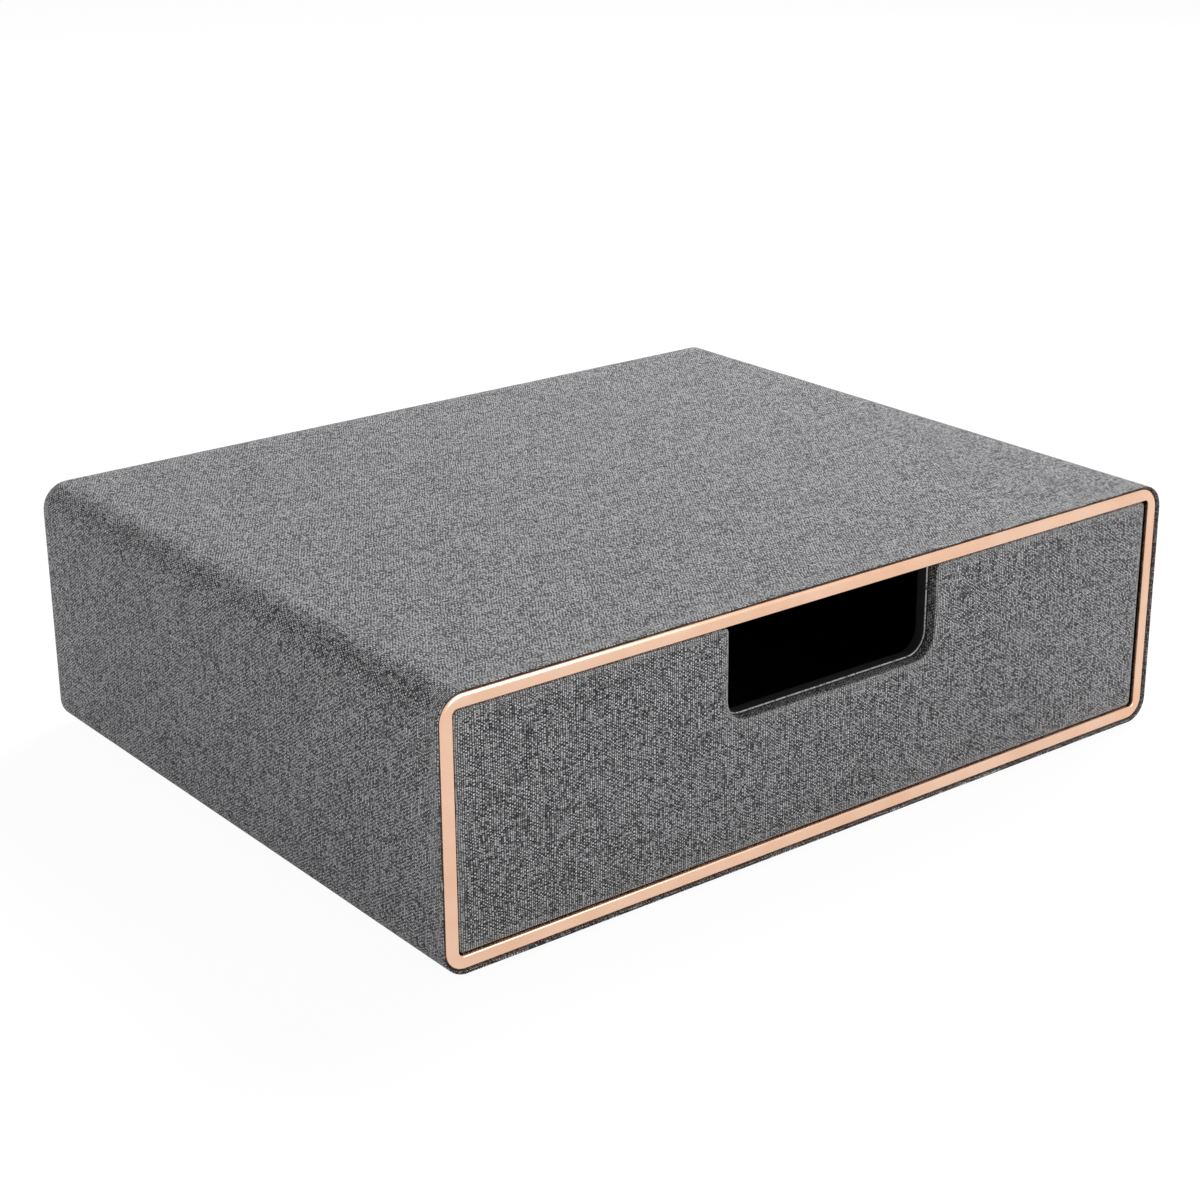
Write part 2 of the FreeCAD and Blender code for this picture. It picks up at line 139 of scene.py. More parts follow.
def buildMesh(name, grids, body, material, fills=(), flip=False, sharpAngle=38):
    # grids are (points, threads, fold) on rows and columns; fills are closed rings, one face each
    mergeDistance, tinyEdge = 1e-7, 1e-8        # metres
    vertices, threads, folds, faces = [], [], [], []
    start = 0
    for points, thread, fold in grids:
        rows, columns = points.shape[:2]
        index = start + np.arange(rows * columns).reshape(rows, columns)
        quads = np.stack([index[:-1, :-1], index[1:, :-1], index[1:, 1:], index[:-1, 1:]], -1)
        quads = quads.reshape(-1, 4)
        faces += (quads[:, ::-1] if flip else quads).tolist()
        vertices.append(points.reshape(-1, 3))
        threads.append(thread.reshape(-1, 2))
        folds.append(np.broadcast_to(fold, (rows, columns)).reshape(-1))
        start += rows * columns
    for points, thread in fills:
        faces.append(list(range(start, start + len(points))))
        vertices.append(points)
        threads.append(thread)
        folds.append(np.zeros(len(points)))
        start += len(points)
    vertices, threads = np.concatenate(vertices) * mm, np.concatenate(threads)
    mesh = bpy.data.meshes.new(name)
    mesh.from_pydata(vertices.tolist(), [], faces)
    corner = np.empty(len(mesh.loops), np.int32)
    mesh.loops.foreach_get("vertex_index", corner)
    layer = mesh.uv_layers.new(name="threads")
    layer.data.foreach_set("uv", threads[corner].astype(np.float32).ravel())
    attribute = mesh.attributes.new("fold", "FLOAT", "POINT")
    attribute.data.foreach_set("value", np.concatenate(folds).astype(np.float32))
    work = bmesh.new()
    work.from_mesh(mesh)
    bmesh.ops.remove_doubles(work, verts=work.verts, dist=mergeDistance)
    bmesh.ops.dissolve_degenerate(work, edges=work.edges, dist=tinyEdge)
    work.to_mesh(mesh)
    work.free()
    mesh.polygons.foreach_set("use_smooth", np.ones(len(mesh.polygons), bool))
    mesh.set_sharp_from_angle(angle=math.radians(sharpAngle))
    mesh.materials.append(material)
    piece = bpy.data.objects.new(name, mesh)
    bpy.context.scene.collection.objects.link(piece)
    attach(piece, body)
    return piece


# shader groups

class nodeBench:
    # short ways to add nodes to a tree and wire them
    def __init__(self, tree):
        self.nodes, self.links = tree.nodes, tree.links

    def put(self, kind, inputs=None, **settings):
        node = self.nodes.new(kind)
        for key, value in settings.items():
            setattr(node, key, value)
        for key, value in (inputs or {}).items():
            self.feed(node.inputs[key], value)
        return node

    def feed(self, socket, value):
        if isinstance(value, bpy.types.NodeSocket):
            self.links.new(value, socket)
        else:
            socket.default_value = value

    def math(self, operation, first, second=None, third=None, clamp=False):
        node = self.put("ShaderNodeMath", operation=operation, use_clamp=clamp)
        for socket, value in zip(node.inputs, (first, second, third)):
            if value is not None:
                self.feed(socket, value)
        return node.outputs[0]

    def vector(self, x=0.0, y=0.0, z=0.0):
        return self.put("ShaderNodeCombineXYZ", {"X": x, "Y": y, "Z": z}).outputs[0]

    def noise(self, vector, detail, scale=1.0):
        return self.put("ShaderNodeTexNoise", {
            "Vector": vector, "Scale": scale, "Detail": detail, "Roughness": 0.5}).outputs[0]

    def blendColour(self, share, first, second, mode="MIX"):
        node = self.put("ShaderNodeMix", data_type="RGBA", blend_type=mode)
        for key, value in ((0, share), (6, first), (7, second)):        # its colour sockets
            self.feed(node.inputs[key], value)
        return node.outputs[2]

    def spread(self, value, low, high, toLow=0.0, toHigh=1.0):
        return self.put("ShaderNodeMapRange", {
            "Value": value, "From Min": low, "From Max": high, "To Min": toLow, "To Max": toHigh}).outputs[0]

    def bump(self, height, distance, strength=1.0):
        return self.put("ShaderNodeBump", {
            "Height": height, "Distance": distance, "Strength": strength}).outputs[0]


def newGroup(name, inputs, outputs):
    group = bpy.data.node_groups.new(name, "ShaderNodeTree")
    kinds = {"value": "NodeSocketFloat", "vector": "NodeSocketVector"}
    for label, kind, value in inputs:
        socket = group.interface.new_socket(label, in_out="INPUT", socket_type=kinds[kind])
        if value is not None:
            socket.default_value = value
    for label, kind in outputs:
        group.interface.new_socket(label, in_out="OUTPUT", socket_type=kinds[kind])
    bench = nodeBench(group)
    return group, bench, bench.put("NodeGroupInput").outputs, bench.put("NodeGroupOutput").inputs


weave = {
    "thickPitch": 0.877, "finePitch": 0.572,             # from thread to thread, in millimetres
    "bend": 1.4, "bendScale": 0.07,                      # slow bend that neighbouring threads share
    "spacing": 1.1, "spacingScale": 0.5, "spacingAlong": 0.04,
    "laneStep": 3.71,                                    # places one thread's noise far from the next one's
    "streakAlong": 0.075, "speckAlong": 1.5, "speckAway": 7.0,
    "unevenRange": (0.25, 0.75), "fineTone": 0.8,
}


def weaveGroup(c):
    # plain weave: thick threads stand at whole steps of u, fine ones at whole steps of v.
    # With p = sin(pi u) sin(pi v), the thick thread's height is (|sin pi u| + p) / 2 and the fine
    # thread's is (|sin pi v| - p) / 2; the higher one shows.
    group, b, given, result = newGroup("plainWeave", (
        ("Threads", "vector", None),
        ("Thick Pitch", "value", c["thickPitch"]), ("Fine Pitch", "value", c["finePitch"]),
        ("Streaks", "value", 1.0), ("Specks", "value", 1.0), ("Grain", "value", 1.0),
        ("Over Under", "value", 0.2), ("Thick Gap Shade", "value", 0.4), ("Fine Gap Shade", "value", 0.7)), (
        ("Height", "value"), ("Tone", "value"), ("Shade", "value")))
    place = b.put("ShaderNodeSeparateXYZ", {"Vector": given["Threads"]}).outputs
    drift = b.math("SUBTRACT", b.noise(b.vector(place[0], place[1]), 1, c["bendScale"]), 0.5)

    def threadCount(across, along, pitch, seed):
        # threads are spaced a little unevenly, and bend slowly along their length
        spacing = b.noise(b.vector(b.math("MULTIPLY", across, c["spacingScale"]),
                                   b.math("MULTIPLY", along, c["spacingAlong"]), seed), 1)
        moved = b.math("ADD", b.math("MULTIPLY_ADD", spacing, c["spacing"], -c["spacing"] / 2), across)
        return b.math("DIVIDE", b.math("MULTIPLY_ADD", drift, c["bend"], moved), pitch)

    u = threadCount(place[0], place[1], given["Thick Pitch"], seed=3.0)
    v = threadCount(place[1], place[0], given["Fine Pitch"], seed=23.0)
    sineU = b.math("SINE", b.math("MULTIPLY", u, math.pi))
    sineV = b.math("SINE", b.math("MULTIPLY", v, math.pi))
    product = b.math("MULTIPLY", sineU, sineV)
    archU, archV = b.math("ABSOLUTE", sineU), b.math("ABSOLUTE", sineV)
    thick = b.math("MULTIPLY", b.math("ADD", archU, product), 0.5)
    fine = b.math("MULTIPLY", b.math("SUBTRACT", archV, product), 0.5)
    onTop = b.math("GREATER_THAN", thick, fine)
    thickNumber, fineNumber = b.math("FLOOR", u), b.math("FLOOR", v)

    def threadTone(number, along, seed):
        # each thread has its own shade, which changes slowly along it, and short pale and dark specks
        lane = b.math("MULTIPLY_ADD", number, c["laneStep"], seed)
        streak = b.noise(b.vector(lane, b.math("MULTIPLY", along, c["streakAlong"]), seed), 1)
        speck = b.noise(b.vector(lane, b.math("MULTIPLY", along, c["speckAlong"]), seed + c["speckAway"]), 1)
        streak = b.math("MULTIPLY", b.math("SUBTRACT", streak, 0.5), given["Streaks"])
        speck = b.math("MULTIPLY", b.math("SUBTRACT", speck, 0.5), given["Specks"])
        return b.math("ADD", streak, speck)

    # how much paler the thick threads' crossings are than the fine ones' varies from place to place
    uneven = b.spread(b.noise(b.vector(place[0], place[1], 5.0), 1), *c["unevenRange"])
    lift = b.math("MULTIPLY", given["Over Under"], uneven)
    toneThick = b.math("ADD", threadTone(thickNumber, place[1], seed=11.3), lift)
    toneFine = b.math("MULTIPLY_ADD", threadTone(fineNumber, place[0], seed=47.9), c["fineTone"],
                      b.math("MULTIPLY", lift, -1.0))
    tone = b.put("ShaderNodeMix", {0: onTop, 2: toneFine, 3: toneThick}, data_type="FLOAT").outputs[0]
    grain = b.put("ShaderNodeTexWhiteNoise", {"Vector": b.vector(thickNumber, fineNumber)},
                  noise_dimensions="2D").outputs[0]
    grain = b.math("MULTIPLY", b.math("SUBTRACT", grain, 0.5), given["Grain"])
    # painted shade: the gaps between threads are darkened, standing for the shade that falls between them
    shade = b.math("MULTIPLY", b.spread(archU, 0.0, 1.0, given["Thick Gap Shade"], 1.0),
                   b.spread(archV, 0.0, 1.0, given["Fine Gap Shade"], 1.0))
    b.feed(result["Height"], b.math("MAXIMUM", thick, fine))
    b.feed(result["Tone"], b.math("ADD", tone, grain))
    b.feed(result["Shade"], shade)
    return group


def fibreGroup(cloudScale=28.0):
    # paper and board surface: short matted fibres, half along x and half along z, over slow clouds
    group, b, given, result = newGroup("paperFibre", (
        ("Place", "vector", None), ("Fibre Size", "value", 0.4), ("Stretch", "value", 2.5)), (
        ("Height", "value"), ("Cloud", "value")))
    scale = b.math("DIVIDE", 1 / mm, given["Fibre Size"])
    place = b.put("ShaderNodeSeparateXYZ", {"Vector": given["Place"]}).outputs
    longWays = b.vector(b.math("DIVIDE", place[0], given["Stretch"]), place[1], place[2])
    upWays = b.vector(place[0], place[1], b.math("DIVIDE", place[2], given["Stretch"]))
    first, second = b.noise(longWays, 3, scale), b.noise(upWays, 3, scale)
    b.feed(result["Height"], b.math("MULTIPLY", b.math("ADD", first, second), 0.5))
    b.feed(result["Cloud"], b.noise(given["Place"], 3, cloudScale))
    return group


plainWeave, paperFibre = weaveGroup(weave), fibreGroup()
print("shader groups built")


# materials

def newMaterial(name):
    material = bpy.data.materials.new(name)
    material.use_nodes = True
    bench = nodeBench(material.node_tree)
    return material, bench, material.node_tree.nodes["Principled BSDF"]


def foldValue(bench):
    return bench.put("ShaderNodeAttribute", attribute_name="fold").outputs["Fac"]


greyCloth = {
    # foldPale is the colour of the painted highlight along folds, which also stands for worn threads
    "dark": (0.052, 0.052, 0.055, 1), "pale": (0.97, 0.97, 1.0, 1), "foldPale": (0.80, 0.80, 0.80, 1),
    "streaks": 0.95, "specks": 0.27, "grain": 1.0, "overUnder": 0.52, "thickGapShade": 0.0, "fineGapShade": 0.15,
    "middle": 0.60, "toneCurve": 1.7,
    "foldWearAndHighlight": 0.45, "foldWearAndHighlightOfPale": 1.8,               # how far a fold is painted pale: a painted highlight where the cloth turns over an edge, together with worn threads
    "threadDepth": 0.14, "roughness": 0.92, "specular": 0.25, "sheen": 0.08, "sheenRoughness": 0.5,
}


def clothMaterial(name, c):
    material, b, shader = newMaterial(name)
    threads = b.put("ShaderNodeUVMap", uv_map="threads").outputs[0]
    weaving = b.put("ShaderNodeGroup", {
        "Threads": threads, "Streaks": c["streaks"], "Specks": c["specks"], "Grain": c["grain"],
        "Over Under": c["overUnder"], "Thick Gap Shade": c["thickGapShade"], "Fine Gap Shade": c["fineGapShade"],
    }, node_tree=plainWeave)
    tone = b.math("ADD", weaving.outputs["Tone"], c["middle"], clamp=True)
    tone = b.math("POWER", tone, c["toneCurve"])
    colour = b.blendColour(tone, c["dark"], c["pale"])
    # folds are painted pale: a painted highlight where the edge catches the light, together with worn threads
    wornAndLit = b.math("MULTIPLY_ADD", tone, c["foldWearAndHighlightOfPale"], c["foldWearAndHighlight"])
    colour = b.blendColour(b.math("MULTIPLY", foldValue(b), wornAndLit, clamp=True), colour, c["foldPale"])
    # the painted shade between threads darkens the colour
    shade = weaving.outputs["Shade"]
    colour = b.blendColour(1.0, colour, b.vector(shade, shade, shade), "MULTIPLY")
    b.feed(shader.inputs["Base Color"], colour)
    b.feed(shader.inputs["Roughness"], c["roughness"])
    b.feed(shader.inputs["Specular IOR Level"], c["specular"])
    b.feed(shader.inputs["Sheen Weight"], c["sheen"])
    b.feed(shader.inputs["Sheen Roughness"], c["sheenRoughness"])
    b.feed(shader.inputs["Normal"], b.bump(weaving.outputs["Height"], c["threadDepth"] * mm))
    return material


roseGold = {
    "colour": (0.80, 0.49, 0.33, 1), "worn": (0.84, 0.56, 0.41, 1), "wornRange": (0.35, 0.65),
    "cloudScale": 45.0, "grainScale": 2600.0,
    "roughness": 0.18, "roughnessSpread": 0.10, "coat": 0.25, "coatRoughness": 0.18,
    "cloudHeight": 3.0, "bumpDepth": 0.004, "bumpStrength": 0.6,
}


def roseGoldMaterial(name, c):
    material, b, shader = newMaterial(name)
    place = b.put("ShaderNodeTexCoord").outputs["Object"]
    cloud = b.noise(place, 3, c["cloudScale"])
    grain = b.noise(place, 2, c["grainScale"])
    b.feed(shader.inputs["Base Color"], b.blendColour(b.spread(cloud, *c["wornRange"]), c["colour"], c["worn"]))
    unevenness = b.math("MULTIPLY", b.math("SUBTRACT", grain, 0.5), c["roughnessSpread"])
    b.feed(shader.inputs["Roughness"], b.math("ADD", unevenness, c["roughness"]))
    b.feed(shader.inputs["Metallic"], 1.0)
    b.feed(shader.inputs["Coat Weight"], c["coat"])
    b.feed(shader.inputs["Coat Roughness"], c["coatRoughness"])
    height = b.math("ADD", grain, b.math("MULTIPLY", cloud, c["cloudHeight"]))
    b.feed(shader.inputs["Normal"], b.bump(height, c["bumpDepth"] * mm, c["bumpStrength"]))
    return material


paperLook = {
    "paleRange": (0.35, 0.65), "specular": 0.35,
    "roughRange": (0.3, 0.7), "roughnessSpread": 0.06,
    "chipScale": 1400.0, "chipRange": (0.30, 0.55),      # where the pale edge line shows in chips: worn paper, brightened as a painted highlight
}

papers = {
    "blackCard": {
        "dark": (0.022, 0.022, 0.023, 1), "pale": (0.034, 0.034, 0.035, 1), "roughness": 0.72},
    "blackPaperedBoard": {
        "dark": (0.022, 0.022, 0.023, 1), "pale": (0.034, 0.034, 0.035, 1), "roughness": 0.55,
        # near-white edge colour: worn paper showing through, partly a painted highlight
        "worn": (0.95, 0.95, 0.95, 1)},
    "rawFibreboard": {
        "dark": (0.30, 0.20, 0.12, 1), "pale": (0.48, 0.36, 0.24, 1), "roughness": 0.85,
        "fibreSize": 0.9, "depth": 0.05},
    "blackFootFoam": {
        "dark": (0.014, 0.014, 0.015, 1), "pale": (0.026, 0.026, 0.027, 1), "roughness": 0.9,
        "fibreSize": 0.7, "depth": 0.06},
}


def paperMaterial(name, dark, pale, roughness, fibreSize=0.4, depth=0.02, worn=None):
    c = paperLook
    material, b, shader = newMaterial(name)
    place = b.put("ShaderNodeTexCoord").outputs["Object"]
    fibre = b.put("ShaderNodeGroup", {"Place": place, "Fibre Size": fibreSize}, node_tree=paperFibre)
    height, cloud = fibre.outputs["Height"], fibre.outputs["Cloud"]
    share = b.math("ADD", b.math("MULTIPLY", cloud, 0.5), b.math("MULTIPLY", height, 0.5))
    colour = b.blendColour(b.spread(share, *c["paleRange"]), dark, pale)
    if worn:
        # the pale edge line is partly worn paper and partly a painted highlight where the edge catches the
        # light
        chips = b.spread(b.noise(place, 1, c["chipScale"]), *c["chipRange"])
        colour = b.blendColour(b.math("MULTIPLY", foldValue(b), chips), colour, worn)
    b.feed(shader.inputs["Base Color"], colour)
    smoothest, roughest = roughness - c["roughnessSpread"], roughness + c["roughnessSpread"]
    b.feed(shader.inputs["Roughness"], b.spread(height, *c["roughRange"], smoothest, roughest))
    b.feed(shader.inputs["Specular IOR Level"], c["specular"])
    b.feed(shader.inputs["Normal"], b.bump(height, depth * mm))
    return material


cloth = clothMaterial("greyCloth", greyCloth)
trimMetal = roseGoldMaterial("roseGoldPlate", roseGold)
blackCard, blackBoard, fibreboard, footRubber = (paperMaterial(name, **look) for name, look in papers.items())
print("materials built")


# case

caseCover = {
    "hem": 0.4, "hemDepth": 2.6, "hemStraight": 1.4,     # doubled cloth round the mouth
    "lowerHem": 0.9, "hemFade": 25.0,                    # thicker along the lower edge, fading up the sides
    "shoulder": 0.05, "shoulderDepth": 2.3, "shoulderSteps": 5,
    "backRound": 0.6, "innerRound": 0.35, "backRim": 5.0, "rimMiddle": 2.6, "panelFront": 264.0,
    "outsideSteps": 46, "insideSteps": 9, "seamGap": 0.3,
    "waveHeight": 0.06, "waveSeed": 5, "calmFront": 3.0, "calmBack": 1.0, "calmFade": 12.0,
    "frontFold": (0.6, 0.4, 0.5), "backFold": (0.4, 0.25, 0.7),      # strength, way in from the edge, width of each fold's painted highlight
}


def caseCorners():
    return boxOutline(caseSize["half"], caseSize["low"], caseSize["high"],
                      caseSize["topRadius"], caseSize["bottomRadius"])


def skinLoop(inset):
    # the case's outline moved in by the inset
    return outlineLoops(caseCorners(), [inset], caseSize["arcSteps"])[0]


def makeCaseCover(c):
    # profile of (inset, depth) points carried round the case's outline: down the doubled hem, over
    # the front fold, up a slight shoulder, back along the outside, over the back rim, and home
    # along the boards
    depth = caseSize["back"] - caseSize["front"]
    skin, r, q = caseSize["cloth"], c["backRound"], c["innerRound"]
    foldRound = (c["hem"] - c["shoulder"]) / 2
    outside = [(c["hem"], c["hemDepth"]), (c["hem"], c["hemStraight"])]
    outside += quarter((c["hem"] - foldRound, foldRound), foldRound, 360, 180, 10)
    hemRows = len(outside)
    # the shoulder eases out by t^2 (3 - 2 t) along its depth
    rise = np.linspace(0, 1, c["shoulderSteps"] + 1)[1:]
    outside += [(c["shoulder"] * (1 - t * t * (3 - 2 * t)), foldRound + (c["shoulderDepth"] - foldRound) * t)
                for t in rise]
    outside += [(0.0, y) for y in np.linspace(c["shoulderDepth"], depth - r, c["outsideSteps"] + 1)[1:-1]]
    outside += quarter((r, depth - r), r, 180, 90, 8)
    outside += [(c["rimMiddle"], depth)] + quarter((c["backRim"] - q, depth - q), q, 90, 0)
    outside += [(c["backRim"], c["panelFront"])]
    inside = [(c["backRim"] - skin, c["panelFront"]), (c["backRim"] - skin, depth - skin), (skin, depth - skin)]
    inside += [(skin, y) for y in np.linspace(depth - skin, c["hemDepth"], c["insideSteps"] + 1)[1:]]
    profile = np.array(outside + inside + outside[:1])
    loops = outlineLoops(caseCorners(), profile[:, 0], caseSize["arcSteps"])
    # the hem is thicker along the lower edge: height + extra * share * (1 - height / fade)
    share = np.clip((profile[:, 0] - c["shoulder"]) / (c["hem"] - c["shoulder"]), 0, 1)
    share[hemRows:-1] = 0
    fade = np.clip(1 - (loops[..., 1] - caseSize["low"]) / c["hemFade"], 0, 1)
    loops[..., 1] += (c["lowerHem"] - c["hem"]) * share[:, None] * fade
    # the columns start and end at the butt seam, at x = 0 underneath
    around = pathLength(skinLoop(0.0))
    inward = skinLoop(1.0) - skinLoop(0.0)
    count = loops.shape[1] - 1
    seam = np.argmin(np.abs(loops[0, :count // 2, 0]))
    order = np.r_[seam:count, :seam + 1]
    loops = loops[:, order]
    loops[:, 0, 0], loops[:, -1, 0] = c["seamGap"] / 2, -c["seamGap"] / 2
    around = np.where(np.arange(len(order)) < count - seam, around[order], around[order] + around[-1])
    around -= around[0]
    along = pathLength(profile)
    thread = np.stack(np.broadcast_arrays(along[:, None], around[None, :]), -1)
    points = atDepth(loops, caseSize["front"] + profile[:, 1])
    # slight swells over the outside, calm near both ends
    onSkin = np.arange(len(profile)) < len(outside)
    calm = onSkin * np.clip((profile[:, 1] - c["calmFront"]) / c["calmFade"], 0, 1)
    calm = calm * np.clip((depth - c["calmBack"] - profile[:, 1]) / c["calmFade"], 0, 1)
    swell = waves(along[:, None], around[None, :], c["waveSeed"]) * c["waveHeight"] * calm[:, None]
    points[..., 0] -= swell * inward[None, order, 0]
    points[..., 2] -= swell * inward[None, order, 1]

    def ridge(edge, strength, away, width):
        # strength * exp(-((depth - edge + away) / width)^2)
        return strength * np.exp(-((profile[:, 1] - (edge - away)) / width) ** 2)

    # the folds get a painted highlight, a pale line just behind the front fold and along the back rim, which
    # also stands for worn threads
    fold = onSkin * np.maximum(ridge(c["shoulderDepth"], *c["frontFold"]), ridge(depth, *c["backFold"]))
    seamEnds = [(points[:-1, 0], thread[:-1, 0]), (points[:-1, -1][::-1], thread[:-1, -1][::-1])]
    cover = buildMesh("caseCover", [(points, thread, fold[:, None])], "case", cloth, seamEnds)
    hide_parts("case_cloth")


makeCaseCover(caseCover)
print("case cover done")


def panelShell(name, corners, profile, body, material, arcSteps=10, spacing=8.0, fold=None, face=-1):
    # profile of (inset, depth) points carried round an outline, from a ring that closes one side,
    # over the edges, to a ring that closes the other. Threads are measured from the row given as
    # face, and run out from it by the length of the profile.
    profile = np.array(profile)
    loops = outlineLoops(corners, profile[:, 0], arcSteps, spacing=spacing)
    points = atDepth(loops, profile[:, 1])
    run = pathLength(profile)
    thread = outlineLoops(corners, profile[face, 0] - np.abs(run[face] - run), arcSteps, spacing=spacing)
    shade = np.zeros(len(profile)) if fold is None else fold
    fills = [(points[0, :-1][::-1], thread[0, :-1][::-1]), (points[-1, :-1], thread[-1, :-1])]
    return buildMesh(name, [(points, thread, shade[:, None])], body, material, fills, flip=True)


def boardProfile(front, back, r, endInset):
    # from a ring that closes the back, round both edges, to a ring that closes the front
    profile = [(endInset, back)] + [(x, back - y) for x, y in quarter((r, r), r, 270, 180)]
    return profile + [(x, front + y) for x, y in quarter((r, r), r, 180, 270)] + [(endInset, front)]


backCover = {
    "inset": 5.0, "recess": 1.5, "depth": 4.5, "round": 0.7, "endInset": 4.0,
    "foldWidth": 0.5, "foldReach": 1.2,
}


def makeBackCover(c):
    # a cloth tray: the outside of the panel and its four turned edges
    face = caseSize["back"] - c["recess"]
    skin, r = caseSize["cloth"], c["round"]
    inset = c["inset"]
    corners = boxOutline(caseSize["half"] - inset, caseSize["low"] + inset, caseSize["high"] - inset,
                         caseSize["topRadius"] - inset, caseSize["bottomRadius"] - inset)
    front = face - c["depth"]
    profile = [(c["endInset"], face - skin), (skin, face - skin), (skin, front), (0.0, front)]
    profile += [(x, face - y) for x, y in quarter((r, r), r, 180, 270)]
    profile += [(c["endInset"], face)]
    profile = np.array(profile)[::-1]
    # a painted highlight along the back cover's turned edge, which also stands for worn threads
    fold = np.exp(-((profile[:, 1] - face) / c["foldWidth"]) ** 2) * (profile[:, 0] < c["foldReach"])
    cover = panelShell("backCover", corners, profile, "case", cloth, arcSteps=8, fold=fold, face=0)
    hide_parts("back_cloth")


makeBackCover(backCover)

trimFrame = {
    "edge": 1.25, "face": 0.4, "seat": 2.7, "crown": 0.04,
    "shoulderWide": 1.9, "shoulderDeep": 0.8, "shoulderSteps": 13, "innerRound": 0.45,
    "lip": 0.55, "lowerLip": 0.8, "lipFade": 20.0, "lipBack": 0.6,
    "openingRadius": 2.6, "sleeveDepth": 10.0, "sleeveWall": 1.2, "sleeveRing": 3.0, "sleeveEase": 0.15,
    "sideSteps": (40, 12, 40, 12),
}


def makeTrimFrame(c):
    # two families of loops with matching points: inset from the case's outline for the outer edge,
    # and outset from the opening for the inner edge and the sleeve
    face, seat, wall = c["face"], c["seat"], caseSize["wall"]
    end = seat + c["sleeveDepth"]
    opening = boxOutline(caseSize["half"] - wall, caseSize["low"] + wall, caseSize["high"] - wall,
                         c["openingRadius"], c["openingRadius"])
    wide, deep, r = c["shoulderWide"], c["shoulderDeep"], c["innerRound"]
    # the outer shoulder is a quarter of an ellipse
    shoulder = [(c["edge"] + wide * (1 - math.cos(a)), face + deep * (1 - math.sin(a)))
                for a in np.linspace(0, math.pi / 2, c["shoulderSteps"] + 1)]
    outer = [(c["edge"], seat)] + shoulder
    # the flange's inner edge stands a little into the opening, as a small lip before the sleeve
    lip, ease, thick = c["lip"], c["sleeveEase"], c["sleeveWall"]
    inner = quarter((lip - r, face + r), r, 270, 360, 8)
    inner += [(lip, seat - c["lipBack"]), (0.0, seat)]
    inner += [(0.0, seat + c["sleeveRing"]), (0.0, end - ease), (-ease, end), (-thick, end), (-thick, seat)]
    outer, inner = np.array(outer), np.array(inner)
    outerLoops = outlineLoops(caseCorners(), outer[:, 0], caseSize["arcSteps"], c["sideSteps"])
    innerLoops = outlineLoops(opening, inner[:, 0], caseSize["arcSteps"], c["sideSteps"])
    # the lip is higher along the lower bar: height + extra * (1 - rise / fade)
    proud = np.maximum(inner[:, 0], 0)[:, None]
    rise = innerLoops[..., 1] - (caseSize["low"] + wall + proud)
    extra = proud * (c["lowerLip"] / lip - 1)
    innerLoops[..., 1] += extra * np.clip(1 - rise / c["lipFade"], 0, 1)
    # the flat between them has a slight crown, highest halfway: crown * 4 k (1 - k)
    k = np.array([0.25, 0.5, 0.75])
    between = outerLoops[-1][None] * (1 - k)[:, None, None] + innerLoops[0][None] * k[:, None, None]
    flat = face - c["crown"] * 4 * k * (1 - k)
    loops = np.concatenate([outerLoops, between, innerLoops, outerLoops[:1]])
    depths = np.concatenate([outer[:, 1], flat, inner[:, 1], outer[:1, 1]])
    points = atDepth(loops, caseSize["front"] + depths)
    piece = buildMesh("trimFrame", [bareGrid(points)], "case", trimMetal, flip=True, sharpAngle=50)
    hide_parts("trim_frame")


makeTrimFrame(trimFrame)

footPad = {"radius": 6.0, "height": 1.5, "round": 0.45, "steps": 48}


def makeFeet(c):
    # the pad's profile of (radius, height) turned about its upright axis
    radius, height, r = c["radius"], c["height"], c["round"]
    profile = [(0.0, 0.0), (radius / 2, 0.0)] + quarter((radius - r, r), r, -90, 0)
    profile = np.array(profile + [(radius, height), (0.0, height)])
    angle = np.linspace(0, 2 * math.pi, c["steps"] + 1)
    for place in ("front_left", "front_right", "back_left", "back_right"):
        low, high = millimetreBox("foot_" + place)
        middle = (low + high) / 2
        ring = np.stack([middle[0] + profile[:, :1] * np.cos(angle), middle[1] + profile[:, :1] * np.sin(angle),
                         np.broadcast_to(profile[:, 1:], (len(profile), len(angle)))], -1)
        pad = buildMesh("footPad." + place, [bareGrid(ring)], "case", footRubber, flip=True)
        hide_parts("foot_" + place)


makeFeet(footPad)
print("back cover, frame and feet done")


# drawer

fascia = {
    "depth": 4.5, "edgeRound": 1.0, "cornerRadius": 2.0, "hem": 12.0, "backRound": 0.4, "endInset": 4.0,
    "notchHalf": 49.5, "notchDepth": 35.5, "notchRadius": 9.0,
    "foldInset": 0.6, "foldWidth": 0.5, "foldBack": 0.15, "foldDeep": 0.4,
}


def notchedOutline(half, low, high, corner, notchHalf, notchLow, notchRadius):
    # corners of (x, z, radius), round a box with a finger notch in its upper edge
    return [(-half, low, corner), (half, low, corner), (half, high, corner), (notchHalf, high, corner),
            (notchHalf, notchLow, notchRadius), (-notchHalf, notchLow, notchRadius),
            (-notchHalf, high, corner), (-half, high, corner)]


